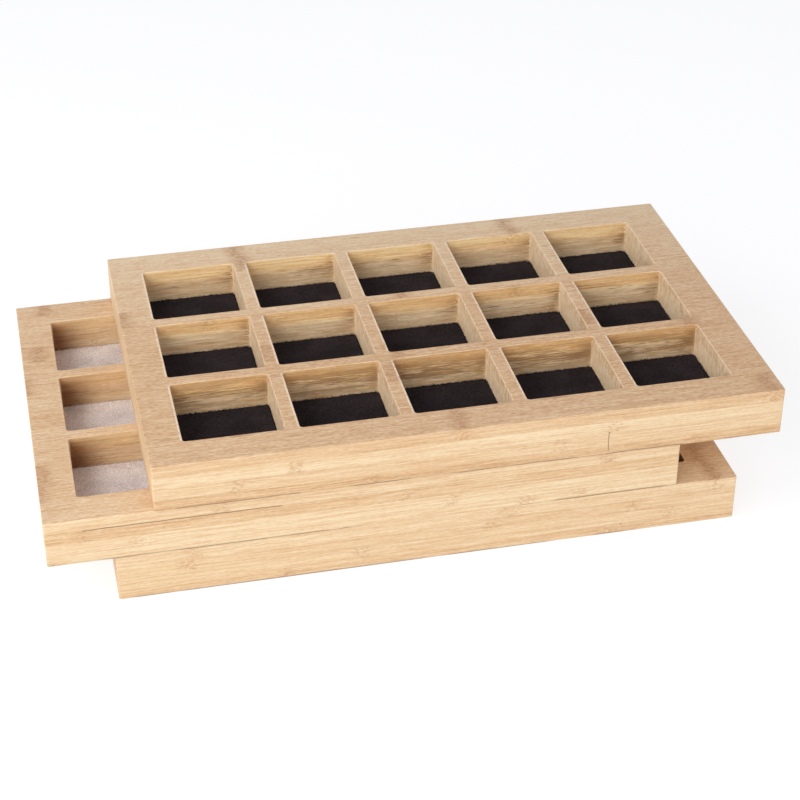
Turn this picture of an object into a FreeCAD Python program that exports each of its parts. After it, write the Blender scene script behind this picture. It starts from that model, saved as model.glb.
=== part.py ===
"""Grid display box: a stack of three loose bamboo trays with lined square pockets, in millimetres.

Each tray is a board glued up from four bamboo plies. Fifteen round-cornered pockets are milled
through the upper three plies, so the base ply is their floor, and a liner pad lies in each pocket.
The trays rest on one another and are pushed apart lengthways, which shows what the lower ones hold.
The origin is the centre of the bottom tray's underside. X runs along the trays, Y from front to back.
"""

import FreeCAD
import Part
import os

Vector = FreeCAD.Vector

# Grid of pockets, with the bars between them and the rims around them
POCKET_COLUMNS = 5
POCKET_ROWS = 3
POCKET_LENGTH = 55.0
POCKET_WIDTH = 57.0
POCKET_CORNER_RADIUS = 2.0
COLUMN_BAR = 8.0
ROW_BAR = 8.0
LEFT_RIM = 19.5
RIGHT_RIM = 23.5
FRONT_RIM = 21.0
BACK_RIM = 22.0

# Plies of the glued board
FACE_PLY = 7.0
UPPER_CORE_PLY = 7.5
LOWER_CORE_PLY = 7.5
BASE_PLY = 6.0

# Sanded corners and edges of the board
BOARD_CORNER_RADIUS = 1.2
BOARD_EDGE_ROUND = 0.5
POCKET_MOUTH_EASE = 0.3

# Liner pads
PAD_THICKNESS = 2.0
PAD_SIDE_CLEARANCE = 0.3
PAD_EDGE_ROUND = 0.5

# Where the loose trays rest: sideways and backward push of each upper tray from the bottom one
MIDDLE_TRAY_PUSH_X = -36.0
MIDDLE_TRAY_PUSH_Y = -0.5
TOP_TRAY_PUSH_X = 22.0
TOP_TRAY_PUSH_Y = -2.0
STACK_GAP = 0.15

# Sizes that follow from the ones above
COLUMN_PITCH = POCKET_LENGTH + COLUMN_BAR
ROW_PITCH = POCKET_WIDTH + ROW_BAR
TRAY_LENGTH = LEFT_RIM + POCKET_COLUMNS * COLUMN_PITCH - COLUMN_BAR + RIGHT_RIM
TRAY_WIDTH = FRONT_RIM + POCKET_ROWS * ROW_PITCH - ROW_BAR + BACK_RIM
TRAY_HEIGHT = BASE_PLY + LOWER_CORE_PLY + UPPER_CORE_PLY + FACE_PLY
STACK_PITCH = TRAY_HEIGHT + STACK_GAP

# Name of each tray with the place of its centre, from the bottom of the stack up
TRAYS = (
    ("bottom_tray", 0.0, 0.0),
    ("middle_tray", MIDDLE_TRAY_PUSH_X, MIDDLE_TRAY_PUSH_Y),
    ("top_tray", TOP_TRAY_PUSH_X, TOP_TRAY_PUSH_Y),
)


def rounded_rectangle(corner, length, width, radius):
    """Closed wire of a flat rectangle with round corners, from its front left corner."""
    right = corner.x + length - radius
    back = corner.y + width - radius
    left = corner.x + radius
    front = corner.y + radius
    centres = ((right, front, 270), (right, back, 0), (left, back, 90), (left, front, 180))
    up = Vector(0, 0, 1)
    arcs = [
        Part.makeCircle(radius, Vector(x, y, corner.z), up, start, start + 90)
        for x, y, start in centres
    ]
    edges = []
    for arc, following in zip(arcs, arcs[1:] + arcs[:1]):
        edges.append(arc)
        edges.append(Part.makeLine(arc.Vertexes[-1].Point, following.Vertexes[0].Point))
    return Part.Wire(edges)


def top_face(shape):
    """The highest face of a shape with a flat top."""
    return max(shape.Faces, key=lambda face: face.CenterOfMass.z)


def bottom_face(shape):
    """The lowest face of a shape with a flat underside."""
    return min(shape.Faces, key=lambda face: face.CenterOfMass.z)


def board_outline(corner):
    """Outline of a tray's board, from its front left corner."""
    return rounded_rectangle(corner, TRAY_LENGTH, TRAY_WIDTH, BOARD_CORNER_RADIUS)


def pocket_corner(corner, column, row):
    """Front left corner of a pocket. Column 1 is at the left, and row 1 at the back."""
    across = LEFT_RIM + (column - 1) * COLUMN_PITCH
    deep = FRONT_RIM + (POCKET_ROWS - row) * ROW_PITCH
    return corner + Vector(across, deep, 0)


def pocket_places():
    """Column and row of each pocket, along the back row first."""
    return [
        (column, row)
        for row in range(1, POCKET_ROWS + 1)
        for column in range(1, POCKET_COLUMNS + 1)
    ]


def pocketed_ply(corner, thickness):
    """A ply that all the pockets pass through, standing on its corner's height."""
    pockets = [
        rounded_rectangle(
            pocket_corner(corner, column, row), POCKET_LENGTH, POCKET_WIDTH, POCKET_CORNER_RADIUS
        )
        for column, row in pocket_places()
    ]
    sheet = Part.makeFace([board_outline(corner), *pockets], "Part::FaceMakerBullseye")
    return sheet.extrude(Vector(0, 0, thickness))


def face_ply(corner):
    """The top ply: the mouths of its pockets are eased and its outer edge is rounded."""
    ply = pocketed_ply(corner, FACE_PLY)
    top = top_face(ply)
    mouths = [wire for wire in top.Wires if not wire.isSame(top.OuterWire)]
    eased = ply.makeChamfer(POCKET_MOUTH_EASE, [edge for mouth in mouths for edge in mouth.Edges])
    return eased.makeFillet(BOARD_EDGE_ROUND, top_face(eased).OuterWire.Edges)


def base_ply(corner):
    """The bottom ply: it closes the pockets, and its lower edge is rounded."""
    sheet = Part.Face(board_outline(corner))
    ply = sheet.extrude(Vector(0, 0, BASE_PLY))
    return ply.makeFillet(BOARD_EDGE_ROUND, bottom_face(ply).Edges)


def liner_pad(corner, column, row):
    """A pad on a pocket's floor, a little smaller than the pocket, with its upper edge rolled over."""
    clearance = Vector(PAD_SIDE_CLEARANCE, PAD_SIDE_CLEARANCE, 0)
    outline = rounded_rectangle(
        pocket_corner(corner, column, row) + clearance,
        POCKET_LENGTH - 2 * PAD_SIDE_CLEARANCE,
        POCKET_WIDTH - 2 * PAD_SIDE_CLEARANCE,
        POCKET_CORNER_RADIUS - PAD_SIDE_CLEARANCE,
    )
    pad = Part.Face(outline).extrude(Vector(0, 0, PAD_THICKNESS))
    return pad.makeFillet(PAD_EDGE_ROUND, top_face(pad).Edges)


def tray_pieces(name, centre_x, centre_y, underside):
    """Every piece of one tray by its node's name, built from the underside up."""
    level = Vector(centre_x - TRAY_LENGTH / 2, centre_y - TRAY_WIDTH / 2, underside)
    pieces = {f"{name}_base_ply": base_ply(level)}
    level = level + Vector(0, 0, BASE_PLY)
    for column, row in pocket_places():
        pieces[f"{name}_pad_row{row}_col{column}"] = liner_pad(level, column, row)
    pieces[f"{name}_lower_core_ply"] = pocketed_ply(level, LOWER_CORE_PLY)
    level = level + Vector(0, 0, LOWER_CORE_PLY)
    pieces[f"{name}_upper_core_ply"] = pocketed_ply(level, UPPER_CORE_PLY)
    level = level + Vector(0, 0, UPPER_CORE_PLY)
    pieces[f"{name}_face_ply"] = face_ply(level)
    return pieces


def main():
    os.makedirs("parts", exist_ok=True)
    for place, (name, centre_x, centre_y) in enumerate(TRAYS):
        for node, shape in tray_pieces(name, centre_x, centre_y, place * STACK_PITCH).items():
            shape.exportStep(f"parts/{node}.step")
    print(f"tray {TRAY_LENGTH:g} x {TRAY_WIDTH:g} x {TRAY_HEIGHT:g} mm, stack of {len(TRAYS)}")


main()
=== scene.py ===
"""Finish, light and camera for a stack of loose bamboo display trays with lined pockets."""

import math
import random
from types import SimpleNamespace

import bmesh
import bpy
from mathutils import Matrix, Vector, noise


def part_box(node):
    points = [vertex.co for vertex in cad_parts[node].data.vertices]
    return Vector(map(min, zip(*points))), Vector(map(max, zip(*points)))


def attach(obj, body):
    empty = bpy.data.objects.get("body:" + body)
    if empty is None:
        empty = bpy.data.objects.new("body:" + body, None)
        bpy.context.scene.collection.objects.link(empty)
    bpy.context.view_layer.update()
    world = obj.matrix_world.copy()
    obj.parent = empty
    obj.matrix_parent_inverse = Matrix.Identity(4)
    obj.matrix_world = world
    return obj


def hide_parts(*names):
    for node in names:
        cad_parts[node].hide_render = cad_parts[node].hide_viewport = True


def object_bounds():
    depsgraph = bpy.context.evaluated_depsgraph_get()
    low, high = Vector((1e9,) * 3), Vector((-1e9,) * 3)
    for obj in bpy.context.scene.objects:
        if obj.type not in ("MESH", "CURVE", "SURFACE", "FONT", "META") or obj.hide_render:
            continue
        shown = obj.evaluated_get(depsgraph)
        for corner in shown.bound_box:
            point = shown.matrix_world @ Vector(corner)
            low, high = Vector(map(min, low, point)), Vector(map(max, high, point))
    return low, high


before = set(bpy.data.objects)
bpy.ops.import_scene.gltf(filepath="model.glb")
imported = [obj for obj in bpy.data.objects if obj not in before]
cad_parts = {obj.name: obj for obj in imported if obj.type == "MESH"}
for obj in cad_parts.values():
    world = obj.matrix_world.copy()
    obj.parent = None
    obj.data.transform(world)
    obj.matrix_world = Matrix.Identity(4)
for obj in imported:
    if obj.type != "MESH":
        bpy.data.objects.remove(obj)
cad_low, cad_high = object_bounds()


# Base plies
# The lowest bamboo layer of each tray's glued board, and the floor of its pockets. Flat strips are
# pressed side by side along the tray, with brown knuckles across them, then sanded and left bare.

MM = 0.001
TRAYS = ("bottom_tray", "middle_tray", "top_tray")

board_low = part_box("bottom_tray_base_ply")[0]
board_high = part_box("bottom_tray_face_ply")[1]
board_size_mm = (board_high - board_low) / MM
TRAY_WIDTH_MM = board_size_mm.y
TRAY_HEIGHT_MM = board_size_mm.z

STRIP_WIDTH_MM = 18.0
STRIP_COUNT = math.ceil(TRAY_WIDTH_MM / STRIP_WIDTH_MM)
STRIP_TONE_SPREAD = 0.08
FIRST_KNUCKLE_MM = (-60.0, 120.0)
KNUCKLE_SPACING_MM = (160.0, 195.0)
KNUCKLE_HALF_LENGTH_MM = 5.0
KNUCKLE_WAVER_MM = 9.0
# A strip's knuckle places go through a colour ramp as shares of this stretch of tray
TABLE_START_MM = -100.0
TABLE_LENGTH_MM = 600.0
NO_KNUCKLE_MM = -90.0
# The patterns of each ply start somewhere else, and so do those of strips that differ in tone or knuckle
PLY_OFFSET_MOST = 500.0
OFFSET_BY_KNUCKLE = 1.7
OFFSET_BY_TONE = 311.0

BAMBOO_TONES = (
    (0.00, (0.500, 0.280, 0.128, 1.0)),
    (0.30, (0.612, 0.395, 0.212, 1.0)),
    (0.50, (0.672, 0.454, 0.258, 1.0)),
    (0.70, (0.710, 0.528, 0.317, 1.0)),
    (1.00, (0.770, 0.620, 0.405, 1.0)),
)
FACE_BLUSH = (1.03, 0.99, 0.985, 1.0)
KNUCKLE_BROWN = (0.45, 0.235, 0.112, 1.0)
JOINT_BROWN = (0.33, 0.21, 0.125, 1.0)
# The painted shadow line along the foot of each tray
SHADOW_LINE_DARK = (0.14, 0.085, 0.05, 1.0)
BAMBOO_ROUGHNESS = (0.46, 0.64)
BAMBOO_SHINE = 0.35
GRAIN_RELIEF = 0.3
GRAIN_DEPTH_MM = 0.12

# Swells of each pattern to a millimetre along the fibres, across them and up
WAVER = (0.045, 0.16, 0.16)
FIBRES = (0.065, 1.8, 1.8)
FLECKS = (0.35, 1.6, 1.6)
LINES = (0.016, 1.2, 1.2)
STREAKS = (0.006, 0.28, 0.28)
KNUCKLE_SPECKS = (0.45, 1.1, 1.1)
OPEN_JOINTS = (0.02, 0.02, 0.4)
# Detail of a noise pattern
PLAIN_DETAIL = 2.0
FINE_DETAIL = 3.0

# How far the patterns move a strip's tone on upright sides and on flats, and how far flats are lighter
FIBRE_SWING = (0.8, 1.6)
FLECK_SWING = (0.75, 1.65)
LINE_SWING = (1.15, 0.75)
STREAK_SWING = 0.22
FLAT_LIFT = 0.05
# How far the fibres wander sideways between knuckles and on them
FIBRE_BEND_MM = (1.0, 6.0)
# How brown a knuckle is on upright sides and on flats, and what its specks add
KNUCKLE_STAIN = (0.04, 0.40)
SPECK_STAIN = 0.45
SPECK_EDGE = (0.5, 0.58)
# Joints show along the foot of a ply, and a painted shadow line along the foot of a tray
OPEN_JOINT_EDGE = (0.47, 0.6)
JOINT_HALF_HEIGHT_MM = 0.3
JOINT_SHARE = 0.4
SHADOW_LINE_HALF_HEIGHT_MM = 0.8
SHADOW_LINE_EDGE = (0.0, 0.4)
# Limits, from none to full, of the upward or lengthways part of a normal that tell how a face lies
FLAT_UPWARD = (0.5, 0.8)
UPRIGHT_UPWARD = (0.97, 0.8)
LONG_SIDE_LENGTHWAYS = (0.6, 0.3)


def feed(tree, node, inputs):
    """Set inputs of a node, by name or number, to constants or to the sockets of other nodes."""
    for name, value in inputs.items():
        if isinstance(value, bpy.types.NodeSocket):
            tree.links.new(value, node.inputs[name])
        else:
            node.inputs[name].default_value = value


def put(tree, kind, inputs=None, **settings):
    """A new node of a tree, with its settings made and its inputs fed."""
    node = tree.nodes.new(kind)
    for name, value in settings.items():
        setattr(node, name, value)
    feed(tree, node, inputs or {})
    return node


def reckon(tree, operation, *values):
    """What a Math node makes of numbers or sockets."""
    return put(tree, "ShaderNodeMath", dict(enumerate(values)), operation=operation).outputs[0]


def product(tree, first, *others):
    """Several shares multiplied together."""
    for other in others:
        first = reckon(tree, "MULTIPLY", first, other)
    return first


def grade(tree, share, low, high):
    """A number that runs from low to high as a share runs from 0 to 1."""
    return reckon(tree, "MULTIPLY_ADD", share, high - low, low)


def swing(tree, value, pattern, amount):
    """A value moved up and down by a pattern that runs from 0 to 1."""
    return reckon(tree, "MULTIPLY_ADD", reckon(tree, "SUBTRACT", pattern, 0.5), amount, value)


def parts_of(tree, vector):
    """The three numbers of a vector."""
    return put(tree, "ShaderNodeSeparateXYZ", {0: vector}).outputs


def stretch(tree, place, by, shift=(0.0, 0.0, 0.0)):
    """A place scaled along each axis and then moved, for patterns that run along the fibres."""
    scaled = put(tree, "ShaderNodeVectorMath", {0: place, 1: by}, operation="MULTIPLY").outputs[0]
    return put(tree, "ShaderNodeVectorMath", {0: scaled, 1: shift}, operation="ADD").outputs[0]


def cloud(tree, place, detail=PLAIN_DETAIL, swells=1.0):
    """Soft noise from 0 to 1, with a number of swells to one unit of place."""
    inputs = {"Vector": place, "Scale": swells, "Detail": detail}
    return put(tree, "ShaderNodeTexNoise", inputs).outputs[0]


def fade(tree, value, low, high):
    """0 at low and 1 at high, with a smooth step between."""
    limits = {"Value": value, "From Min": low, "From Max": high}
    return put(tree, "ShaderNodeMapRange", limits, interpolation_type="SMOOTHSTEP").outputs[0]


def bell(tree, value, middle, half_width):
    """1 where a value is at the middle, falling smoothly to nothing past the half width."""
    off = reckon(tree, "DIVIDE", reckon(tree, "SUBTRACT", value, middle), half_width)
    return reckon(tree, "EXPONENT", product(tree, off, off, -1.0))


# A Mix node's sockets for colours, among those for other kinds of value
MIX_SHARE, MIX_UNDER, MIX_OVER = 0, 6, 7
MIXED_COLOUR = 2


def tint(tree, share, under, over, blend="MIX"):
    """A colour laid over another by a share."""
    mix = put(tree, "ShaderNodeMix", data_type="RGBA", blend_type=blend)
    feed(tree, mix, {MIX_SHARE: share, MIX_UNDER: under, MIX_OVER: over})
    return mix.outputs[MIXED_COLOUR]


def ramp(tree, value, stops, interpolation="LINEAR"):
    """A colour ramp through (place, colour) stops."""
    node = put(tree, "ShaderNodeValToRGB", {"Fac": value})
    node.color_ramp.interpolation = interpolation
    elements = node.color_ramp.elements
    while len(elements) < len(stops):
        elements.new(1.0)
    for element, (place, colour) in zip(elements, stops):
        element.position = place
        element.color = colour
    return node.outputs


def relief(tree, height, strength, depth_mm):
    """The normal of a surface that bumps up and down with a height."""
    inputs = {"Height": height, "Strength": strength, "Distance": depth_mm * MM}
    return put(tree, "ShaderNodeBump", inputs).outputs[0]


def new_material(name):
    """A new material, with its node tree and its surface."""
    material = bpy.data.materials.new(name)
    material.use_nodes = True
    return material, material.node_tree, material.node_tree.nodes["Principled BSDF"]


def strip_table(tree, across, strips):
    """The tone and the three knuckle places of the strip at a distance across the tray."""
    stops = []
    for number, (tone, knuckles) in enumerate(strips):
        places = (*knuckles, NO_KNUCKLE_MM, NO_KNUCKLE_MM)[:3]
        shares = [(place - TABLE_START_MM) / TABLE_LENGTH_MM for place in places]
        stops.append((number * STRIP_WIDTH_MM / TRAY_WIDTH_MM, (tone, *shares)))
    colour, alpha = ramp(tree, reckon(tree, "DIVIDE", across, TRAY_WIDTH_MM), stops, "CONSTANT")
    tone, first, second = put(tree, "ShaderNodeSeparateColor", {0: colour}).outputs
    places = [
        reckon(tree, "MULTIPLY_ADD", share, TABLE_LENGTH_MM, TABLE_START_MM)
        for share in (first, second, alpha)
    ]
    return tone, places


def pattern_offset(tree, tone, first_knuckle, ply_offset):
    """Where a strip's patterns start."""
    return put(tree, "ShaderNodeCombineXYZ", {
        "X": reckon(tree, "MULTIPLY_ADD", first_knuckle, OFFSET_BY_KNUCKLE, ply_offset),
        "Y": reckon(tree, "MULTIPLY_ADD", tone, OFFSET_BY_TONE, ply_offset),
        "Z": ply_offset,
    }).outputs[0]


def knuckle_share(tree, along, places, waver):
    """1 on a knuckle of the strip and 0 away from it, with a wavering edge."""
    wandering = swing(tree, along, waver, KNUCKLE_WAVER_MM)
    shares = [bell(tree, wandering, place, KNUCKLE_HALF_LENGTH_MM) for place in places]
    return reckon(tree, "MAXIMUM", shares[0], reckon(tree, "MAXIMUM", shares[1], shares[2]))


def bend(tree, place, waver, knuckle):
    """A place moved sideways as the fibres wander, most of all at a knuckle."""
    sideways = swing(tree, 0.0, waver, grade(tree, knuckle, *FIBRE_BEND_MM))
    shift = put(tree, "ShaderNodeCombineXYZ", {"Y": sideways, "Z": sideways}).outputs[0]
    return put(tree, "ShaderNodeVectorMath", {0: place, 1: shift}, operation="ADD").outputs[0]


def grain(tree, tone, fibre, flat, bent, offset):
    """A strip's tone as its fibres, flecks, lines and streaks leave it."""
    shade = reckon(tree, "MULTIPLY_ADD", flat, FLAT_LIFT, tone)
    shade = swing(tree, shade, fibre, grade(tree, flat, *FIBRE_SWING))
    fleck = cloud(tree, stretch(tree, bent, FLECKS, offset), FINE_DETAIL)
    shade = swing(tree, shade, fleck, grade(tree, flat, *FLECK_SWING))
    line = cloud(tree, stretch(tree, bent, LINES, offset))
    shade = swing(tree, shade, line, grade(tree, flat, *LINE_SWING))
    streak = cloud(tree, stretch(tree, bent, STREAKS, offset))
    return swing(tree, shade, streak, STREAK_SWING)


def stained(tree, colour, knuckle, flat, bent, offset):
    """Brown, speckled knuckles laid over a colour."""
    speck = fade(tree, cloud(tree, stretch(tree, bent, KNUCKLE_SPECKS, offset)), *SPECK_EDGE)
    stain = reckon(tree, "MULTIPLY_ADD", speck, SPECK_STAIN, grade(tree, flat, *KNUCKLE_STAIN))
    return tint(tree, product(tree, knuckle, stain), colour, KNUCKLE_BROWN)


def jointed(tree, colour, ply_low, place, facing, offset):
    """Brown joints along the foot of the ply, which on a base ply lie at the tray's foot and are painted
    shade there, and a painted shadow line along the foot of the tray's long sides.
    """
    height = parts_of(tree, place)[2]
    upright = fade(tree, facing.upward, *UPRIGHT_UPWARD)
    gaps = cloud(tree, stretch(tree, place, OPEN_JOINTS, offset), FINE_DETAIL)
    open_joint = fade(tree, gaps, *OPEN_JOINT_EDGE)
    ply_foot = bell(tree, height, ply_low, JOINT_HALF_HEIGHT_MM)
    joint = product(tree, ply_foot, open_joint, upright, JOINT_SHARE)
    colour = tint(tree, joint, colour, JOINT_BROWN)
    long_side = product(tree, upright, fade(tree, facing.lengthways, *LONG_SIDE_LENGTHWAYS))
    # A painted shadow line along the tray's foot, where it sits on the tray or floor below
    tray_foot = bell(tree, height, 0.0, SHADOW_LINE_HALF_HEIGHT_MM)
    shadow_line = product(tree, tray_foot, fade(tree, open_joint, *SHADOW_LINE_EDGE), long_side)
    return tint(tree, shadow_line, colour, SHADOW_LINE_DARK)


# What the cutter leaves: golden walls that are scorched along the grain, chiefly in the front row,
# chalky end grain, and pale fibres along the eased mouths. With these go painted shade in the pockets'
# corners and on the bottom tray's last end walls, and a painted highlight along the mouths. Each pair
# of limits runs from none to full.

# The grid of pockets, worked out from the pads, which lie in them with a clearance all round
PAD_CLEARANCE_MM = 0.3
front_left_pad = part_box("bottom_tray_pad_row3_col1")
next_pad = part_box("bottom_tray_pad_row2_col2")
back_right_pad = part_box("bottom_tray_pad_row1_col5")
GRID_LOW_MM = [size / MM - PAD_CLEARANCE_MM for size in front_left_pad[0] - board_low]
GRID_HIGH_MM = [size / MM + PAD_CLEARANCE_MM for size in back_right_pad[1] - board_low]
POCKET_PITCH_MM = [size / MM for size in next_pad[0] - front_left_pad[0]]
POCKET_SIDE_MM = [size / MM + 2 * PAD_CLEARANCE_MM for size in front_left_pad[1] - front_left_pad[0]]
GRID_MARGIN_MM = 2.0
GRID_FADE_MM = 1.0
WALL_UPWARD = (0.5, 0.25)
END_GRAIN_LENGTHWAYS = (0.55, 0.85)

# Swells of the cutter's patterns to a millimetre along the fibres, across them and up
SCORCH_LINES = (0.085, 1.45, 1.45)
SCORCH_PATCHES = (0.02, 0.05, 0.09)
MOTTLES = (0.07, 0.2, 0.4)
CUTTER_SMEARS = (0.5, 0.4, 0.16)

MILLED_GOLD = (1.30, 1.22, 0.98, 1.0)
GOLD_DEPTH_MM = (11.0, 6.0)
CREAM = (1.1, 1.12, 1.14, 1.0)
CREAM_MOTTLE = (0.42, 0.62)
CREAM_DEPTH_MM = (5.0, 8.0)
STREAK_BROWN = (0.82, 0.69, 0.50, 1.0)
STREAK_LINE = (0.52, 0.4)
STREAK_MOTTLE = (0.7, 0.4)
# Share of the streaks in the back row and in the front row
STREAK_SHARE = (0.45, 0.9)

SCORCH_AND_SHADE_BROWN = (0.29, 0.15, 0.06, 1.0)
SCORCH_DEPTH_MM = 11.0
SCORCH_HALF_HEIGHT_MM = 8.0
SCORCH_HEAT = (1.07, 1.19)
PATCH_HEAT = 0.8
FRONT_ROW_HEAT = 0.24
FRONT_ROW_MM = (140.0, 85.0)
# Burn and painted shade in the right corners of the pockets, where the wall turns out of the light
CORNER_BURN_AND_SHADE_REACH_MM = 7.0
CORNER_BURN_AND_SHADE_LINE = (0.66, 0.4)
CORNER_BURN_AND_SHADE_DEPTH_MM = 9.0
CORNER_BURN_AND_SHADE_HALF_HEIGHT_MM = 8.0
# Painted shade for the pockets' left corners and for the bottom tray's last end walls
PAINTED_SHADE_BROWN = (0.36, 0.23, 0.16, 1.0)
SHADE_REACH_MM = 17.0
SHADE_DEPTH_MM = (-3.0, 7.0)

CHALKY_END_GRAIN = (0.82, 0.635, 0.435, 1.0)
CHALK_SMEAR = (0.38, 0.62)
CHALK_SHARE = 0.8
LAST_WALL_REACH_MM = 6.0
# Pale fibres and painted highlight along the eased mouths
PALE_FIBRES_AND_HIGHLIGHT = (0.93, 0.76, 0.55, 1.0)
EASED_BELOW_UPWARD = (0.97, 0.85)
EASED_ABOVE_UPWARD = (0.15, 0.4)
# Share of pale fibres and painted highlight on eased edges along the tray and across it
EASED_PALE_AND_HIGHLIT_SHARE = (0.2, 0.6)
WORN_AND_HIGHLIT_MOUTH_MM = (1.5, 0.9)
WORN_AND_HIGHLIT_END_MM = 2.0
WORN_AND_HIGHLIT_SMEAR = (0.2, 0.6)

# How much of each mark a tray has: gold and scorch on its long walls, with painted shade in their
# right corners, painted shade in the left corners of its pockets and on its last end walls, and worn
# fibres with a painted highlight on the left edges of the mouths
GOLD_SHARE = {"bottom_tray": 0.6, "middle_tray": 0.45, "top_tray": 0.75}
SCORCH_SHARE = {"bottom_tray": 0.5, "middle_tray": 0.3, "top_tray": 0.85}
CORNER_PAINTED_SHADE = {"bottom_tray": 0.3, "middle_tray": 0.95, "top_tray": 0.12}
END_PAINTED_SHADE = {"bottom_tray": 0.9, "middle_tray": 0.0, "top_tray": 0.0}
WORN_AND_HIGHLIT_SHARE = {"bottom_tray": 0.4, "middle_tray": 0.1, "top_tray": 0.8}


def between(tree, value, low, high, soft):
    """1 from low to high and 0 outside, with soft ends within."""
    return product(tree, fade(tree, value, low, low + soft), fade(tree, value, high, high - soft))


def past_near_edge(tree, value, axis):
    """How far a place lies past its pocket's near edge, from half a bar before it."""
    half_bar = (POCKET_PITCH_MM[axis] - POCKET_SIDE_MM[axis]) / 2
    past_first = reckon(tree, "SUBTRACT", value, GRID_LOW_MM[axis])
    return reckon(tree, "WRAP", past_first, POCKET_PITCH_MM[axis] - half_bar, -half_bar)


def milled_zones(tree, place, facing, offset):
    """How a place lies among the milled pockets, and the patterns that the cutter left, by name."""
    x, y, z = parts_of(tree, place)
    grid = product(tree, *(
        between(tree, value, low - GRID_MARGIN_MM, high + GRID_MARGIN_MM, GRID_FADE_MM)
        for value, low, high in zip((x, y), GRID_LOW_MM, GRID_HIGH_MM)
    ))
    wall = product(tree, grid, fade(tree, facing.upward, *WALL_UPWARD))
    end_grain = product(tree, wall, fade(tree, facing.lengthways, *END_GRAIN_LENGTHWAYS))
    return SimpleNamespace(
        grid=grid,
        end_grain=end_grain,
        long_wall=reckon(tree, "SUBTRACT", wall, end_grain),
        lengthways=facing.lengthways,
        upward=facing.upward,
        along=x,
        depth=reckon(tree, "SUBTRACT", TRAY_HEIGHT_MM, z),
        from_left=past_near_edge(tree, x, 0),
        from_front=past_near_edge(tree, y, 1),
        front_row=fade(tree, y, *FRONT_ROW_MM),
        line=cloud(tree, stretch(tree, place, SCORCH_LINES, offset)),
        patch=cloud(tree, stretch(tree, place, SCORCH_PATCHES, offset)),
        mottle=cloud(tree, stretch(tree, place, MOTTLES, offset), FINE_DETAIL),
        smear=cloud(tree, stretch(tree, place, CUTTER_SMEARS, offset), FINE_DETAIL),
    )


def gilded(tree, tray, colour, zone):
    """Long walls: golden below the mouth, creamy in patches further down, and streaked with brown."""
    gold = product(tree, zone.long_wall, fade(tree, zone.depth, *GOLD_DEPTH_MM), GOLD_SHARE[tray])
    colour = tint(tree, gold, colour, MILLED_GOLD, "MULTIPLY")
    patches = fade(tree, zone.mottle, *CREAM_MOTTLE)
    creamy = product(tree, zone.long_wall, patches, fade(tree, zone.depth, *CREAM_DEPTH_MM))
    colour = tint(tree, creamy, colour, CREAM, "MULTIPLY")
    lines = fade(tree, zone.line, *STREAK_LINE)
    between_patches = fade(tree, zone.mottle, *STREAK_MOTTLE)
    by_row = grade(tree, zone.front_row, *STREAK_SHARE)
    by_tray = SCORCH_SHARE[tray] / SCORCH_SHARE["top_tray"]
    streaky = product(tree, zone.long_wall, lines, between_patches, by_row, by_tray)
    return tint(tree, streaky, colour, STREAK_BROWN, "MULTIPLY")


def scorched(tree, tray, colour, zone):
    """Long walls: burnt where the cutter ran hot, burnt and darkened with painted shade at their right
    ends, and darkened with painted shade at their left ends.
    """
    heat = reckon(tree, "MULTIPLY_ADD", zone.patch, PATCH_HEAT, zone.line)
    heat = reckon(tree, "MULTIPLY_ADD", zone.front_row, FRONT_ROW_HEAT, heat)
    band = bell(tree, zone.depth, SCORCH_DEPTH_MM, SCORCH_HALF_HEIGHT_MM)
    burnt = product(tree, fade(tree, heat, *SCORCH_HEAT), band)
    # Burn and painted shade at the right ends of the long walls
    right_end = bell(tree, zone.from_left, POCKET_SIDE_MM[0], CORNER_BURN_AND_SHADE_REACH_MM)
    right_band = bell(tree, zone.depth, CORNER_BURN_AND_SHADE_DEPTH_MM, CORNER_BURN_AND_SHADE_HALF_HEIGHT_MM)
    right_corner_burn_and_shade = product(tree, right_end, fade(tree, zone.line, *CORNER_BURN_AND_SHADE_LINE), right_band)
    worst = reckon(tree, "MAXIMUM", burnt, right_corner_burn_and_shade)
    brown = product(tree, worst, zone.long_wall, SCORCH_SHARE[tray])
    colour = tint(tree, brown, colour, SCORCH_AND_SHADE_BROWN)
    # Painted shade in the left corners of the long walls, where the left wall and the tray above shade
    # them
    left_end = bell(tree, zone.from_left, 0.0, SHADE_REACH_MM)
    left_corner = product(tree, left_end, fade(tree, zone.depth, *SHADE_DEPTH_MM))
    painted_shade = product(tree, left_corner, zone.long_wall, CORNER_PAINTED_SHADE[tray])
    return tint(tree, painted_shade, colour, PAINTED_SHADE_BROWN, "MULTIPLY")


def chalky(tree, tray, colour, zone):
    """End grain: smeared pale by the cutter, and darkened with painted shade on the last wall of a row.
    """
    smears = product(tree, zone.end_grain, fade(tree, zone.smear, *CHALK_SMEAR), CHALK_SHARE)
    colour = tint(tree, smears, colour, CHALKY_END_GRAIN)
    # Painted shade on the last end wall of each row, shaded by the trays above
    last_wall = bell(tree, zone.along, GRID_HIGH_MM[0], LAST_WALL_REACH_MM)
    painted_shade = product(tree, zone.end_grain, last_wall, END_PAINTED_SHADE[tray])
    return tint(tree, painted_shade, colour, PAINTED_SHADE_BROWN, "MULTIPLY")


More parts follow.
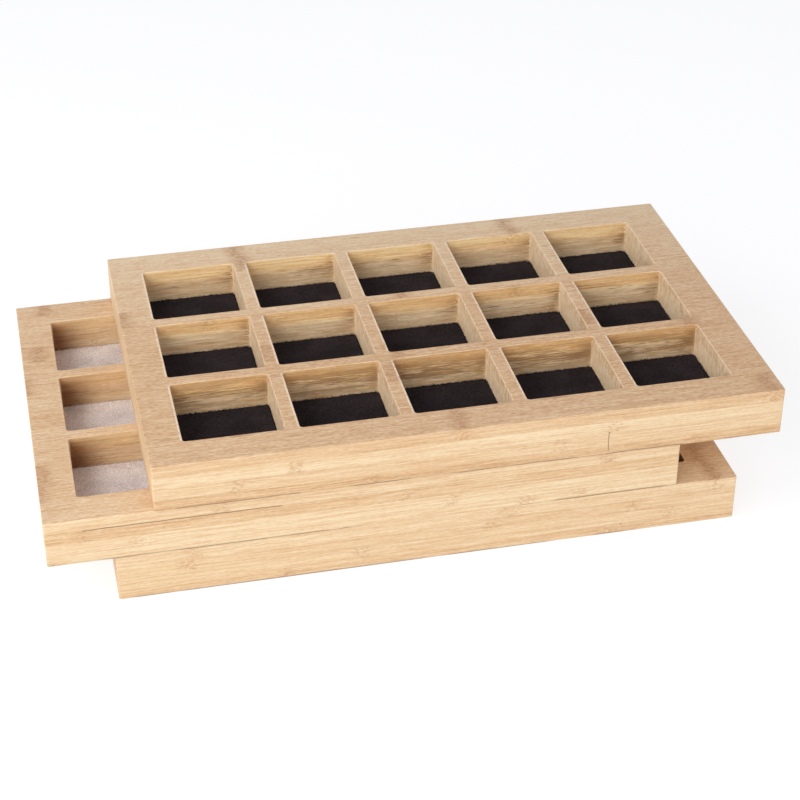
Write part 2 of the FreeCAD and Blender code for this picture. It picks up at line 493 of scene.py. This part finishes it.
def worn_and_highlit(tree, tray, colour, zone):
    """Mouths: pale fibres with a painted highlight on the eased edge, and on the left side."""
    above_wall = fade(tree, zone.upward, *EASED_ABOVE_UPWARD)
    slope = product(tree, above_wall, fade(tree, zone.upward, *EASED_BELOW_UPWARD))
    eased = product(tree, zone.grid, slope, grade(tree, zone.lengthways, *EASED_PALE_AND_HIGHLIT_SHARE))
    # Pale fibres and painted highlight along the left edges of the mouths
    beside_left = fade(tree, reckon(tree, "ABSOLUTE", zone.from_left), *WORN_AND_HIGHLIT_MOUTH_MM)
    along_side = between(tree, zone.from_front, 0.0, POCKET_SIDE_MM[1], WORN_AND_HIGHLIT_END_MM)
    left_edge = product(tree, beside_left, along_side)
    smears = fade(tree, zone.smear, *WORN_AND_HIGHLIT_SMEAR)
    frayed_and_highlit = product(tree, zone.grid, left_edge, smears, zone.upward, WORN_AND_HIGHLIT_SHARE[tray])
    return tint(tree, reckon(tree, "MAXIMUM", eased, frayed_and_highlit), colour, PALE_FIBRES_AND_HIGHLIGHT)


def bamboo(tray, ply, strips):
    """Bare sanded bamboo of one ply. A strip is its tone and its knuckles' places along the tray."""
    material, tree, surface = new_material(f"bamboo_{tray}_{ply}")
    here = put(tree, "ShaderNodeTexCoord").outputs
    tray_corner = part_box(f"{tray}_base_ply")[0]
    local = {"Vector": here["Object"], "Location": -tray_corner / MM, "Scale": (1 / MM,) * 3}
    place = put(tree, "ShaderNodeMapping", local).outputs[0]
    along, across = parts_of(tree, place)[:2]
    normal = parts_of(tree, here["Normal"])
    facing = SimpleNamespace(
        lengthways=reckon(tree, "ABSOLUTE", normal[0]),
        upward=reckon(tree, "ABSOLUTE", normal[2]),
    )
    flat = fade(tree, facing.upward, *FLAT_UPWARD)

    tone, knuckles = strip_table(tree, across, strips)
    ply_offset = random.Random(material.name).uniform(0.0, PLY_OFFSET_MOST)
    offset = pattern_offset(tree, tone, knuckles[0], ply_offset)
    waver = cloud(tree, stretch(tree, place, WAVER, offset))
    knuckle = knuckle_share(tree, along, knuckles, waver)
    bent = bend(tree, place, waver, knuckle)
    fibre = cloud(tree, stretch(tree, bent, FIBRES, offset))
    shade = grain(tree, tone, fibre, flat, bent, offset)

    colour = tint(tree, flat, ramp(tree, shade, BAMBOO_TONES)[0], FACE_BLUSH, "MULTIPLY")
    colour = stained(tree, colour, knuckle, flat, bent, offset)
    ply_low = (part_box(f"{tray}_{ply}")[0].z - tray_corner.z) / MM
    colour = jointed(tree, colour, ply_low, place, facing, offset)
    zone = milled_zones(tree, place, facing, offset)
    for marked in (gilded, scorched, chalky, worn_and_highlit):
        colour = marked(tree, tray, colour, zone)

    smoothest, roughest = BAMBOO_ROUGHNESS
    limits = {"Value": fibre, "To Min": smoothest, "To Max": roughest}
    feed(tree, surface, {
        "Base Color": colour,
        "Roughness": put(tree, "ShaderNodeMapRange", limits).outputs[0],
        "Specular IOR Level": BAMBOO_SHINE,
        "Normal": relief(tree, shade, GRAIN_RELIEF, GRAIN_DEPTH_MM),
    })
    return material


def finish_ply(tray, ply, tone, known=None):
    """Give a ply its bamboo. Strips that aren't known by number vary a little about the ply's tone."""
    pick = random.Random(f"{tray} {ply}")
    strips = []
    for number in range(STRIP_COUNT):
        first = pick.uniform(*FIRST_KNUCKLE_MM)
        second = first + pick.uniform(*KNUCKLE_SPACING_MM)
        third = second + pick.uniform(*KNUCKLE_SPACING_MM)
        loose = (tone + pick.uniform(-STRIP_TONE_SPREAD, STRIP_TONE_SPREAD), (first, second, third))
        strips.append((known or {}).get(number, loose))
    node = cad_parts[f"{tray}_{ply}"]
    node.data.materials.clear()
    node.data.materials.append(bamboo(tray, ply, strips))


# The tone of each ply, then its known strips: number from the front, tone and knuckle places
finish_ply("bottom_tray", "base_ply", 0.45, {0: (0.43, (91.0, 275.0))})
finish_ply("middle_tray", "base_ply", 0.6, {0: (0.65, (1.6, 262.0, 294.0))})
finish_ply("top_tray", "base_ply", 0.45, {0: (0.34, (118.0, 300.0))})


# Core plies
# The two middle layers of each board. The pockets are milled through them, so their edges show only
# as paler and darker bands round the tray and down the pocket walls.

finish_ply("bottom_tray", "lower_core_ply", 0.6, {0: (0.56, (134.0, 310.0))})
finish_ply("bottom_tray", "upper_core_ply", 0.55, {0: (0.52, (39.0, 206.0, 290.0))})
finish_ply("middle_tray", "lower_core_ply", 0.65, {0: (0.70, (48.0, 220.0))})
finish_ply("middle_tray", "upper_core_ply", 0.5, {0: (0.40, (20.0, 194.0))})
finish_ply("top_tray", "lower_core_ply", 0.65, {0: (0.56, (43.0, 222.0))})
finish_ply("top_tray", "upper_core_ply", 0.65, {0: (0.68, (76.0, 252.0))})


# Face plies
# The top layer of each board, the side that shows. The mouths of its pockets are eased by hand, and a
# pale line of fibres with a painted highlight runs round each one.

finish_ply("bottom_tray", "face_ply", 0.55, {
    0: (0.66, (42.0, 215.0, 337.0)),
    1: (0.5, (160.0, 335.0)),
})
finish_ply("middle_tray", "face_ply", 0.5, {
    0: (0.6, (93.0, 307.0)),
    2: (0.5, (2.0, 180.0)),
    3: (0.5, (120.0, 300.0)),
    10: (0.5, (140.0, 310.0)),
    12: (0.55, (16.0, 190.0)),
})
# The top tray's face strips are set dark at the front and light at the back
finish_ply("top_tray", "face_ply", 0.46, {
    0: (0.42, (167.0, 343.0)),
    1: (0.36, (50.0, 224.0)),
    2: (0.38, (23.0, 215.0)),
    3: (0.39, (142.0, 304.0)),
    4: (0.37, (150.0, 323.0)),
    5: (0.39, (77.0, 266.0)),
    6: (0.42, (110.0, 290.0)),
    7: (0.44, (50.0, 235.0)),
    8: (0.55, (2.0, 166.0)),
    9: (0.61, (108.0, 290.0)),
    10: (0.62, (50.0, 236.0)),
    11: (0.71, (79.0, 252.0)),
    12: (0.78, (77.0, 250.0)),
})


# Glue lines
# Dark glue that shows on the fronts where the plies or two lengths of strip don't quite close. Each is
# a thin uneven bead along the joint, sunk in the wood but for a sliver.

GLUE_RADIUS_MM = 0.6
GLUE_PROUD_MM = 0.12
GLUE_STEP_MM = 0.5
GLUE_WANDER_MM = 0.9
GLUE_SIDES = 6
GLUE_WANDERS_PER_METRE = 160.0
GLUE_GAPS_PER_METRE = 90.0
# The bead thins from its full width to the least one where the noise of the gaps is low
GLUE_GAP = (0.42, 0.58)
GLUE_WIDTH = (0.12, 1.0)
GLUE_COLOUR = (0.10, 0.065, 0.045, 1.0)
GLUE_GRIT_PER_METRE = (900.0, 900.0, 900.0)
GLUE_ROUGHNESS = 0.5
GLUE_RELIEF = 0.5
GLUE_RELIEF_DEPTH_MM = 0.1
# Points along each line: distance from the tray's left end and below its top
GLUE_PATHS_MM = {
    "bottom_tray": (((282.0, 22.0), (282.9, 22.1)),),
    "middle_tray": (((20.0, 7.15), (58.0, 7.3), (92.0, 7.1), (126.0, 7.2)),),
    "top_tray": (
        ((249.2, 13.6), (249.0, 20.0), (249.3, 25.8)),
        ((248.7, 13.9), (249.8, 13.9)),
    ),
}


def new_mesh(name, shape):
    """A mesh made of a bmesh, which is let go."""
    mesh = bpy.data.meshes.new(name)
    shape.to_mesh(mesh)
    shape.free()
    return mesh


def new_object(name, data):
    """A new object in the scene."""
    thing = bpy.data.objects.new(name, data)
    bpy.context.scene.collection.objects.link(thing)
    return thing


def ask(tree, kind, *names):
    """Named inputs of a node tree, all of one kind."""
    for name in names:
        tree.interface.new_socket(name, in_out="INPUT", socket_type=f"NodeSocket{kind}")


def give(tree, name, geometry, finish):
    """The one output of a node tree: its geometry made real, with a material."""
    real = put(tree, "GeometryNodeRealizeInstances", {"Geometry": geometry}).outputs[0]
    finished = put(tree, "GeometryNodeSetMaterial", {"Geometry": real, "Material": finish}).outputs[0]
    tree.interface.new_socket(name, in_out="OUTPUT", socket_type="NodeSocketGeometry")
    put(tree, "NodeGroupOutput", {0: finished})


def grow(name, mesh, tree, **inputs):
    """The plain mesh object that a geometry node tree makes of a mesh, with inputs by socket name."""
    source = new_object(f"{name}_source", mesh)
    modifier = source.modifiers.new(tree.name, "NODES")
    modifier.node_group = tree
    for socket in tree.interface.items_tree:
        if socket.name in inputs:
            modifier[socket.identifier] = inputs[socket.name]
    evaluated = source.evaluated_get(bpy.context.evaluated_depsgraph_get())
    result = bpy.data.meshes.new_from_object(evaluated)
    result.name = name
    bpy.data.objects.remove(source)
    return new_object(name, result)


def glue_tree():
    """Geometry nodes that lay an uneven bead along the edges of a mesh."""
    tree = bpy.data.node_groups.new("glue_bead", "GeometryNodeTree")
    ask(tree, "Geometry", "Path")
    ask(tree, "Float", "Radius", "Step", "Wander")
    ask(tree, "Material", "Finish")
    given = put(tree, "NodeGroupInput").outputs
    path = put(tree, "GeometryNodeMeshToCurve", {"Mesh": given["Path"]}).outputs[0]
    steps = {"Curve": path, "Length": given["Step"]}
    path = put(tree, "GeometryNodeResampleCurve", steps, mode="LENGTH").outputs[0]

    place = put(tree, "GeometryNodeInputPosition").outputs[0]
    wander = cloud(tree, place, PLAIN_DETAIL, GLUE_WANDERS_PER_METRE)
    wander = reckon(tree, "MULTIPLY", reckon(tree, "SUBTRACT", wander, 0.5), given["Wander"])
    shift = put(tree, "ShaderNodeCombineXYZ", {"Z": wander}).outputs[0]
    path = put(tree, "GeometryNodeSetPosition", {"Geometry": path, "Offset": shift}).outputs[0]
    width = put(tree, "ShaderNodeMapRange", {
        "Value": cloud(tree, place, FINE_DETAIL, GLUE_GAPS_PER_METRE),
        "From Min": GLUE_GAP[0],
        "From Max": GLUE_GAP[1],
        "To Min": GLUE_WIDTH[0],
        "To Max": GLUE_WIDTH[1],
    }).outputs[0]
    path = put(tree, "GeometryNodeSetCurveRadius", {"Curve": path, "Radius": width}).outputs[0]

    circle = {"Resolution": GLUE_SIDES, "Radius": given["Radius"]}
    ring = put(tree, "GeometryNodeCurvePrimitiveCircle", circle).outputs[0]
    sweep = {"Curve": path, "Profile Curve": ring, "Fill Caps": True}
    give(tree, "Glue", put(tree, "GeometryNodeCurveToMesh", sweep).outputs[0], given["Finish"])
    return tree


def hard_glue():
    """Dark brown set glue, a little glossy and uneven."""
    material, tree, surface = new_material("hard_glue")
    here = put(tree, "ShaderNodeTexCoord").outputs["Object"]
    grit = cloud(tree, stretch(tree, here, GLUE_GRIT_PER_METRE))
    feed(tree, surface, {
        "Base Color": tint(tree, grit, GLUE_COLOUR, JOINT_BROWN),
        "Roughness": GLUE_ROUGHNESS,
        "Normal": relief(tree, grit, GLUE_RELIEF, GLUE_RELIEF_DEPTH_MM),
    })
    return material


glue_beads = glue_tree()
glue_finish = hard_glue()
for tray, paths in GLUE_PATHS_MM.items():
    tray_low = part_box(f"{tray}_base_ply")[0]
    tray_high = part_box(f"{tray}_face_ply")[1]
    bead_centre = tray_low.y + (GLUE_RADIUS_MM - GLUE_PROUD_MM) * MM
    route = bmesh.new()
    for path in paths:
        points = [
            route.verts.new((tray_low.x + along * MM, bead_centre, tray_high.z - down * MM))
            for along, down in path
        ]
        for start, stop in zip(points, points[1:]):
            route.edges.new((start, stop))
    glue = grow(
        f"{tray}_glue_lines", new_mesh(f"{tray}_glue_route", route), glue_beads,
        Radius=GLUE_RADIUS_MM * MM, Step=GLUE_STEP_MM * MM, Wander=GLUE_WANDER_MM * MM,
        Finish=glue_finish,
    )
    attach(glue, tray)


# Liner pads
# A pad of suede-faced foam is glued in each pocket, black in the top and bottom trays and warm grey in
# the middle one. Its edge rolls over where it was die cut, and its face lies a little uneven.

PAD_CORNER_MM = 2.2
PAD_ROLL_MM = 0.4
PAD_CROWN_MM = 0.12
PAD_CROWN_POWER = 4
# The face swells and sinks gently. It lies lower by a share of the swell and is even near its edge
PAD_SWELL_MM = 0.1
PAD_SWELL_SINK = 0.5
PAD_SWELL_EDGE_MM = 1.6
PAD_SWELLS_PER_METRE = 70.0
PAD_RAGGED_MM = 0.55
PAD_RAGGED_REACH_MM = 1.2
PAD_TUFTS_PER_METRE = 730.0
# Grid lines of a pad: how far the ones at its edges lie from it, and the cells between
PAD_EDGE_STEPS_MM = (0.0, 0.03, 0.1, 0.22, 0.4, 0.8, 1.5, 2.4)
PAD_FIELD_CELLS = 46
PAD_SEED_MOST = 100.0

BRUSHED_PATCHES_PER_METRE = (55.0, 75.0, 75.0)
SUEDE_NAP_PER_METRE = (1350.0, 1350.0, 1350.0)
SUEDE_NAP_SWING = 2.2
SUEDE_LEAN = (0.2, 0.85)
SUEDE_ROUGHNESS = 0.95
SUEDE_SHINE = 0.15
SUEDE_SHEEN_ROUGHNESS = 0.5
SUEDE_RELIEF = 0.8
SUEDE_RELIEF_DEPTH_MM = 0.3
DEEP_BLACK = (0.0085, 0.0062, 0.007, 1.0)
BRUSHED_BLACK = (0.03, 0.0205, 0.0235, 1.0)
BLACK_SHEEN = 0.03
DEEP_GREY = (0.61, 0.53, 0.485, 1.0)
BRUSHED_GREY = (0.90, 0.815, 0.765, 1.0)
GREY_SHEEN = 0.1


def pad_lines(half):
    """Places of the grid lines from one edge of a pad to the other, close together at the edges."""
    edge = [half - step * MM for step in PAD_EDGE_STEPS_MM]
    field = edge[-1]
    middle = [field * (2 * cell / PAD_FIELD_CELLS - 1) for cell in range(1, PAD_FIELD_CELLS)]
    return [-place for place in edge] + middle + edge[::-1]


def round_corner(x, y, half_x, half_y):
    """A point of a square grid drawn in so that the corner cells fill a quarter circle."""
    over_x = abs(x) - (half_x - PAD_CORNER_MM * MM)
    over_y = abs(y) - (half_y - PAD_CORNER_MM * MM)
    if over_x <= 0.0 or over_y <= 0.0:
        return x, y
    pull = 1.0 - max(over_x, over_y) / math.hypot(over_x, over_y)
    return x - math.copysign(over_x * pull, x), y - math.copysign(over_y * pull, y)


def unevenness(x, y, per_metre, seed):
    """Noise from about -1 to 1 at a place on a pad."""
    return noise.noise(Vector((x * per_metre, y * per_metre, seed)))


def pad_height(x, y, half_x, half_y, thickness, seed):
    """How high a pad's face stands: rolled down and ragged at its edge, crowned and uneven between."""
    inward = min(half_x - abs(x), half_y - abs(y))
    roll = PAD_ROLL_MM * MM
    drop = roll - math.sqrt(max(roll ** 2 - max(roll - inward, 0.0) ** 2, 0.0))
    bulge = (x / half_x) ** PAD_CROWN_POWER + (y / half_y) ** PAD_CROWN_POWER
    crown = PAD_CROWN_MM * MM * bulge / 2
    swell = PAD_SWELL_MM * MM * (unevenness(x, y, PAD_SWELLS_PER_METRE, seed) - PAD_SWELL_SINK)
    tuft = unevenness(x, y, PAD_TUFTS_PER_METRE, seed)
    ragged = PAD_RAGGED_MM * MM * tuft * max(1.0 - inward / (PAD_RAGGED_REACH_MM * MM), 0.0)
    return thickness - drop - crown + ragged + swell * min(inward / (PAD_SWELL_EDGE_MM * MM), 1.0)


def close_below(shape, rows, floor):
    """Sides and underside of a pad, from the rim of its face down to the floor."""
    right_side = [row[-1] for row in rows[1:]]
    left_side = [row[0] for row in rows[1:-1]]
    rim = rows[0] + right_side + rows[-1][-2::-1] + left_side[::-1]
    foot = [shape.verts.new((vert.co.x, vert.co.y, floor)) for vert in rim]
    for place, vert in enumerate(rim):
        shape.faces.new((foot[place - 1], foot[place], vert, rim[place - 1])).smooth = True
    shape.faces.new(foot[::-1])


def liner_pad(name, low, high):
    """A closed pad in the box between two corners."""
    seed = random.Random(name).uniform(0.0, PAD_SEED_MOST)
    half_x, half_y = (high.x - low.x) / 2, (high.y - low.y) / 2
    middle = (low + high) / 2
    shape = bmesh.new()
    rows = []
    for y in pad_lines(half_y):
        row = []
        for x in pad_lines(half_x):
            height = pad_height(x, y, half_x, half_y, high.z - low.z, seed)
            flat_x, flat_y = round_corner(x, y, half_x, half_y)
            row.append(shape.verts.new((middle.x + flat_x, middle.y + flat_y, low.z + height)))
        rows.append(row)
    for near, far in zip(rows, rows[1:]):
        for left, right, far_right, far_left in zip(near, near[1:], far[1:], far):
            shape.faces.new((left, right, far_right, far_left)).smooth = True
    close_below(shape, rows, low.z)
    return new_object(name, new_mesh(name, shape))


def suede(name, deep, brushed, sheen):
    """Suede cloth: a fine nap that lies in brushed patches, lighter where it leans towards the light."""
    material, tree, surface = new_material(name)
    here = put(tree, "ShaderNodeTexCoord").outputs["Object"]
    patch = cloud(tree, stretch(tree, here, BRUSHED_PATCHES_PER_METRE), FINE_DETAIL)
    nap = cloud(tree, stretch(tree, here, SUEDE_NAP_PER_METRE), FINE_DETAIL)
    lean = swing(tree, patch, nap, SUEDE_NAP_SWING)
    feed(tree, surface, {
        "Base Color": tint(tree, fade(tree, lean, *SUEDE_LEAN), deep, brushed),
        "Roughness": SUEDE_ROUGHNESS,
        "Specular IOR Level": SUEDE_SHINE,
        "Sheen Weight": sheen,
        "Sheen Roughness": SUEDE_SHEEN_ROUGHNESS,
        "Normal": relief(tree, nap, SUEDE_RELIEF, SUEDE_RELIEF_DEPTH_MM),
    })
    return material


black_suede = suede("black_suede", DEEP_BLACK, BRUSHED_BLACK, BLACK_SHEEN)
grey_suede = suede("grey_suede", DEEP_GREY, BRUSHED_GREY, GREY_SHEEN)
# The cloth of each tray's pads, with its slot
LINERS = {
    "bottom_tray": (black_suede, "black_liner"),
    "middle_tray": (grey_suede, "grey_liner"),
    "top_tray": (black_suede, "black_liner"),
}
pads = {tray: [] for tray in TRAYS}
for node in sorted(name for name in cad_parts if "_pad_" in name):
    tray = node.split("_pad_")[0]
    finish, slot = LINERS[tray]
    pad = liner_pad(node.replace("_pad_", "_suede_pad_"), *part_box(node))
    pad.data.materials.append(finish)
    pads[tray].append(pad)
    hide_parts(node)
    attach(pad, tray)


# Nap of the pads
# Short stray fibres that stand up from the suede, thickest to the eye along the cut edges, where they
# break up the line between pad and wall.

NAP_PER_SQUARE_MM = 0.55
NAP_LENGTH_MM = 0.8
NAP_THICKNESS_MM = 0.07
NAP_SIDES = 3
NAP_SIZES = (0.45, 1.0)
NAP_LEAN_RADIANS = 0.9
# The rolled edges have more and longer fibres, by these multiples of what the face has
NAP_EDGE_MORE = 9.0
NAP_EDGE_LONGER = 1.3
# Upward part of the normal: above the first a pad's upper side, below the second its rolled edge
NAP_UPPER_SIDE = 0.05
NAP_ROLLED_EDGE = 0.97
# A Random Value node's sockets for the limits of vectors and of numbers
LEAST_VECTOR, MOST_VECTOR, LEAST_NUMBER, MOST_NUMBER = range(4)


def nap_tree():
    """Geometry nodes that stand leaning fibres on the upper side of a mesh."""
    tree = bpy.data.node_groups.new("nap", "GeometryNodeTree")
    ask(tree, "Geometry", "Pads")
    ask(tree, "Float", "Density", "Edge", "Tuft", "Length", "Thickness", "Lean")
    ask(tree, "Int", "Seed")
    ask(tree, "Material", "Finish")
    given = put(tree, "NodeGroupInput").outputs
    upward = parts_of(tree, put(tree, "GeometryNodeInputNormal").outputs[0])[2]
    rolled = reckon(tree, "LESS_THAN", upward, NAP_ROLLED_EDGE)
    crowding = reckon(tree, "MULTIPLY_ADD", rolled, given["Edge"], 1.0)
    scatter = put(tree, "GeometryNodeDistributePointsOnFaces", {
        "Mesh": given["Pads"],
        "Selection": reckon(tree, "GREATER_THAN", upward, NAP_UPPER_SIDE),
        "Density": product(tree, given["Density"], crowding),
        "Seed": given["Seed"],
    }).outputs

    most = put(tree, "ShaderNodeCombineXYZ", {
        "X": given["Lean"],
        "Y": given["Lean"],
        "Z": math.pi,
    }).outputs[0]
    least = put(tree, "ShaderNodeVectorMath", {0: most, "Scale": -1.0}, operation="SCALE").outputs[0]
    limits = {LEAST_VECTOR: least, MOST_VECTOR: most, "Seed": given["Seed"]}
    lean = put(tree, "FunctionNodeRandomValue", limits, data_type="FLOAT_VECTOR").outputs[0]
    turn = put(tree, "FunctionNodeRotateRotation", {
        "Rotation": scatter["Rotation"],
        "Rotate By": put(tree, "FunctionNodeEulerToRotation", {0: lean}).outputs[0],
    }, rotation_space="LOCAL").outputs[0]
    smallest, largest = NAP_SIZES
    limits = {LEAST_NUMBER: smallest, MOST_NUMBER: largest, "Seed": given["Seed"]}
    size = put(tree, "FunctionNodeRandomValue", limits, data_type="FLOAT").outputs[1]
    on_edge = reckon(tree, "LESS_THAN", parts_of(tree, scatter["Normal"])[2], NAP_ROLLED_EDGE)
    tuft = reckon(tree, "MULTIPLY_ADD", on_edge, given["Tuft"], 1.0)

    fibre = put(tree, "GeometryNodeMeshCone", {
        "Vertices": NAP_SIDES,
        "Radius Top": 0.0,
        "Radius Bottom": given["Thickness"],
        "Depth": given["Length"],
    }).outputs["Mesh"]
    fibres = put(tree, "GeometryNodeInstanceOnPoints", {
        "Points": scatter["Points"],
        "Instance": fibre,
        "Rotation": turn,
        "Scale": product(tree, size, tuft),
    }).outputs[0]
    give(tree, "Nap", fibres, given["Finish"])
    return tree


nap_fibres = nap_tree()
for number, tray in enumerate(TRAYS):
    finish, slot = LINERS[tray]
    together = bmesh.new()
    for pad in pads[tray]:
        together.from_mesh(pad.data)
    nap = grow(
        f"{tray}_pad_nap", new_mesh(f"{tray}_nap_ground", together), nap_fibres,
        Density=NAP_PER_SQUARE_MM / MM ** 2, Edge=NAP_EDGE_MORE, Tuft=NAP_EDGE_LONGER,
        Length=NAP_LENGTH_MM * MM, Thickness=NAP_THICKNESS_MM * MM, Lean=NAP_LEAN_RADIANS,
        Seed=number, Finish=finish,
    )
    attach(nap, tray)


# Floor and light
# A white paper floor that glows a little, so that it stays white about the trays, pale studio walls,
# and three soft boxes: a near one at the left and two in front.

FLOOR_HALF_WIDTH = 8.0
FLOOR_GAP_MM = 0.2
PAPER_GREY = (0.3, 0.3, 0.3, 1.0)
PAPER_WHITE = (1.0, 1.0, 1.0, 1.0)
PAPER_GLOW = 0.76

sheet = bmesh.new()
bmesh.ops.create_grid(sheet, x_segments=1, y_segments=1, size=FLOOR_HALF_WIDTH)
floor = new_object("floor", new_mesh("floor", sheet))
floor.location.z = cad_low.z - FLOOR_GAP_MM * MM
paper, paper_tree, paper_surface = new_material("white_paper")
feed(paper_tree, paper_surface, {
    "Base Color": PAPER_GREY,
    "Roughness": 1.0,
    "Specular IOR Level": 0.0,
    "Emission Color": PAPER_WHITE,
    "Emission Strength": PAPER_GLOW,
})
floor.data.materials.append(paper)

WALL_GLOW = (0.90, 0.90, 0.90, 1.0)
CEILING_GLOW = (0.415, 0.425, 0.490, 1.0)
CEILING_UPWARD = (0.08, 0.45)

studio = bpy.data.worlds.new("studio")
studio.use_nodes = True
bpy.context.scene.world = studio
sky = studio.node_tree
upward = parts_of(sky, put(sky, "ShaderNodeTexCoord").outputs["Generated"])[2]
glow = tint(sky, fade(sky, upward, *CEILING_UPWARD), WALL_GLOW, CEILING_GLOW)
feed(sky, sky.nodes["Background"], {"Color": glow})

LIT_POINT = Vector((0.0, 0.0, 0.05))
SOFTBOX_SIZE = 0.9
# Name, place in metres and power in watts
SOFTBOXES = (
    ("left_softbox", (-1.0, -0.3, 0.85), 8.4),
    ("front_left_softbox", (-0.9, -1.4, 0.9), 12.0),
    ("front_right_softbox", (0.9, -1.4, 0.9), 6.0),
)
for name, place, power in SOFTBOXES:
    lamp = bpy.data.lights.new(name, "AREA")
    lamp.size = SOFTBOX_SIZE
    lamp.energy = power
    light = new_object(name, lamp)
    light.location = place
    light.rotation_euler = (LIT_POINT - Vector(place)).to_track_quat("-Z", "Y").to_euler()


# Camera
# A long lens from the front left, looking down on the stack.

# In metres and degrees
CAMERA_PLACE = (-0.21196, -0.95983, 0.66406)
CAMERA_TURN = 12.783
CAMERA_TILT_DOWN = 32.765
CAMERA_ROLL = 0.158
LENS_MM = 88.42
SENSOR_MM = 36.0

lens = bpy.data.cameras.new("camera")
lens.lens = LENS_MM
lens.sensor_width = SENSOR_MM
camera = new_object("camera", lens)
camera.matrix_world = (
    Matrix.Translation(CAMERA_PLACE)
    @ Matrix.Rotation(math.radians(-CAMERA_TURN), 4, "Z")
    @ Matrix.Rotation(math.radians(90.0 - CAMERA_TILT_DOWN), 4, "X")
    @ Matrix.Rotation(math.radians(CAMERA_ROLL), 4, "Z")
)
bpy.context.scene.camera = camera
bpy.context.scene.view_settings.view_transform = "Standard"

bpy.context.view_layer.update()
